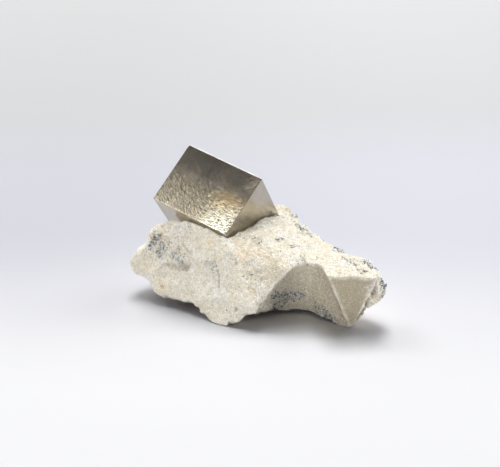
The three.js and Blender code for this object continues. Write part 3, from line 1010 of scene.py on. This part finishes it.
ring_radii = np.linspace(0.0, 1.0, FLOOR_RINGS) ** 2 * FLOOR_RADIUS
spoke_turns = np.arange(FLOOR_SPOKES) * 2 * np.pi / FLOOR_SPOKES
ring, spoke = np.meshgrid(ring_radii, spoke_turns, indexing="ij")
floor_points = np.stack([ring * np.cos(spoke), ring * np.sin(spoke), np.zeros_like(ring)], axis=-1)
number = np.arange(ring.size).reshape(ring.shape)
after = np.roll(number, -1, axis=1)
floor_quads = np.stack([number[1:-1], number[2:], after[2:], after[1:-1]], axis=-1).reshape(-1, 4)
hub = np.stack([number[0], number[1], after[1]], axis=-1)
floor_faces = np.concatenate([floor_quads[:, [0, 1, 2]], floor_quads[:, [0, 2, 3]], hub])
floor = piece_from_arrays("floor", floor_points.reshape(-1, 3), floor_faces, smooth=False)
floor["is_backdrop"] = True


def floor_finish():
    """Matt paper with painted light falloff: white in front, lavender by the specimen, darker at the left,
    grey far behind, then a painted glow.
    """
    look = Finish("paper")
    where = look.place()
    ahead = look.node("ShaderNodeSeparateXYZ", {}, {"Vector": where}, "Y")
    aside = look.node("ShaderNodeSeparateXYZ", {}, {"Vector": where}, "X")
    # Painted shade: the paper darkens towards the back and towards the left.
    behind = ahead.step(-0.07, 0.06)
    far = ahead.step(0.10, 0.24)
    lavender = look.blend(aside.step(-0.07, 0.07), rgb(0.66, 0.66, 0.715), rgb(0.74, 0.74, 0.80))
    colour = look.blend(behind, rgb(0.95, 0.945, 0.955), lavender)
    grey = look.blend(aside.step(-0.1, 0.1), rgb(0.64, 0.64, 0.64), rgb(0.69, 0.69, 0.70))
    colour = look.blend(far, colour, grey)
    inputs = {"Base Color": colour, "Roughness": 0.85, "Specular IOR Level": 0.2}
    paper = look.node("ShaderNodeBsdfPrincipled", {}, inputs)
    # Painted glow: past 0.8 m the floor turns into a glow of the wall's colour.
    painted_far_glow = look.node("ShaderNodeEmission", {}, {"Color": rgb(WALL_GREY, WALL_GREY, WALL_GREY)})
    reach = look.node("ShaderNodeVectorMath", {"operation": "LENGTH"}, {0: where}, "Value")
    return look.done(look.node("ShaderNodeMixShader", {}, {0: reach.step(0.8, 2.4), 1: paper, 2: painted_far_glow}))


floor.data.materials.append(floor_finish())
print("floor faces:", len(floor.data.polygons))

# %% [markdown]
# The key light comes from above and behind. Nearly half of it is not held up by the crystal, so the
# crystal's shadow on the marl stays soft, as it does under a broad light tent. Softer lights stand at the
# top, the left and the right. Two panels are there only to be mirrored in the metal: one at the front left
# for the front face, one at the back left for the others. Two weak fills lift the marl's front and leave
# the floor alone. The sky is dim, because a metal that mirrors a bright sky would lose its dark half.


# %% Lights
WARM_WHITE = (1.0, 0.98, 0.94)


def soft_light(name, stand, width, height, watts, colour=(1, 1, 1), aim=(0.0, 0.0, 0.015)):
    """A rectangular light at a point in metres, turned to face its aim."""
    light = bpy.data.lights.new(name, "AREA")
    light.shape = "RECTANGLE"
    light.size = width
    light.size_y = height
    light.energy = watts
    light.color = colour
    lamp = bpy.data.objects.new(name, light)
    bpy.context.scene.collection.objects.link(lamp)
    lamp.location = stand
    lamp.rotation_euler = (Vector(aim) - Vector(stand)).to_track_quat("-Z", "Y").to_euler()
    return lamp


def stand_at(azimuth, elevation, distance):
    """A point so far from the specimen; azimuth 0 is to the front, 90 to the right."""
    turn, rise = math.radians(azimuth), math.radians(elevation)
    level = distance * math.cos(rise)
    return (level * math.sin(turn), -level * math.cos(turn), distance * math.sin(rise))


def all_but(piece):
    """A collection for light linking that stands for everything except one piece."""
    group = bpy.data.collections.new("all_but_" + piece.name)
    group.objects.link(piece)
    group.collection_objects[0].light_linking.link_state = "EXCLUDE"
    return group


not_the_crystal, not_the_floor = all_but(crystal), all_but(floor)
soft_light("key", stand_at(-177, 60, 2.4), 0.8, 0.8, 18.0)
soft_key = soft_light("soft_key", stand_at(-177, 60, 2.4), 1.0, 1.0, 15.0)
soft_key.light_linking.blocker_collection = not_the_crystal
left_light = soft_light("left_light", stand_at(-130, 45, 2.4), 1.0, 0.8, 12.0)
left_light.visible_glossy = False
back_panel = soft_light("back_panel", stand_at(-115, 30, 1.5), 1.6, 1.3, 4.2)
back_panel.visible_diffuse = False
soft_light("top_light", stand_at(180, 80, 2.4), 1.0, 0.8, 13.0)
soft_light("right_light", stand_at(120, 42, 2.4), 1.0, 0.8, 10.0)
front_box = soft_light("front_left_box", stand_at(-42, 41, 0.9), 0.62, 0.46, 4.3, WARM_WHITE)
front_box.visible_diffuse = False
front_fill = soft_light("front_fill", stand_at(-40, 48, 1.0), 0.6, 0.4, 5.5, WARM_WHITE)
right_fill = soft_light("right_fill", stand_at(75, 15, 1.0), 0.5, 0.2, 3.8, WARM_WHITE)
for fill in (front_fill, right_fill):
    fill.visible_glossy = False
    fill.light_linking.receiver_collection = not_the_floor

# %% Sky
SKY_STRENGTH = 0.09
world = bpy.data.worlds.new("studio")
bpy.context.scene.world = world
world.use_nodes = True
world_tree = world.node_tree
world_tree.nodes.clear()
seen_by_camera = world_tree.nodes.new("ShaderNodeLightPath")
dim_sky = world_tree.nodes.new("ShaderNodeBackground")
dim_sky.inputs["Color"].default_value = rgb(0.80, 0.87, 1.0)
dim_sky.inputs["Strength"].default_value = SKY_STRENGTH
pale_wall = world_tree.nodes.new("ShaderNodeBackground")
pale_wall.inputs["Color"].default_value = rgb(WALL_GREY, WALL_GREY, WALL_GREY)
chosen = world_tree.nodes.new("ShaderNodeMixShader")
world_out = world_tree.nodes.new("ShaderNodeOutputWorld")
world_tree.links.new(seen_by_camera.outputs["Is Camera Ray"], chosen.inputs["Fac"])
world_tree.links.new(dim_sky.outputs[0], chosen.inputs[1])
world_tree.links.new(pale_wall.outputs[0], chosen.inputs[2])
world_tree.links.new(chosen.outputs[0], world_out.inputs["Surface"])

# %% [markdown]
# The camera stands in front and a little above, with a long lens, as a specimen is usually looked at. The
# long lens keeps the block's edges nearly parallel.

# %% Camera
CAMERA_STAND, CAMERA_TILT = [0.0, -300.0, 128.9947], 20
LENS_LENGTH, SENSOR_WIDTH = 82.0, 36.0
lens = bpy.data.cameras.new("camera")
lens.lens = LENS_LENGTH
lens.sensor_width = SENSOR_WIDTH
lens.clip_start = 0.01
camera = bpy.data.objects.new("camera", lens)
bpy.context.scene.collection.objects.link(camera)
camera.location = place(CAMERA_STAND)
camera.rotation_euler = (math.radians(90 - CAMERA_TILT), 0.0, 0.0)
bpy.context.scene.camera = camera
bpy.context.scene.view_settings.view_transform = "Standard"
print("camera at (mm):", [round(1000 * value, 1) for value in camera.location])

# %% [markdown]
# ## Measure and finish
#
# The finished pieces must fill the measured box and not pass it, so both boxes are written down.

# %% Sizes and the end
looks_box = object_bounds()
sizes = {"cad": [list(corner) for corner in cad_box], "visual": [list(corner) for corner in looks_box]}
for name, corners_of_box in sizes.items():
    print(name, [[round(1000 * value, 2) for value in corner] for corner in corners_of_box])
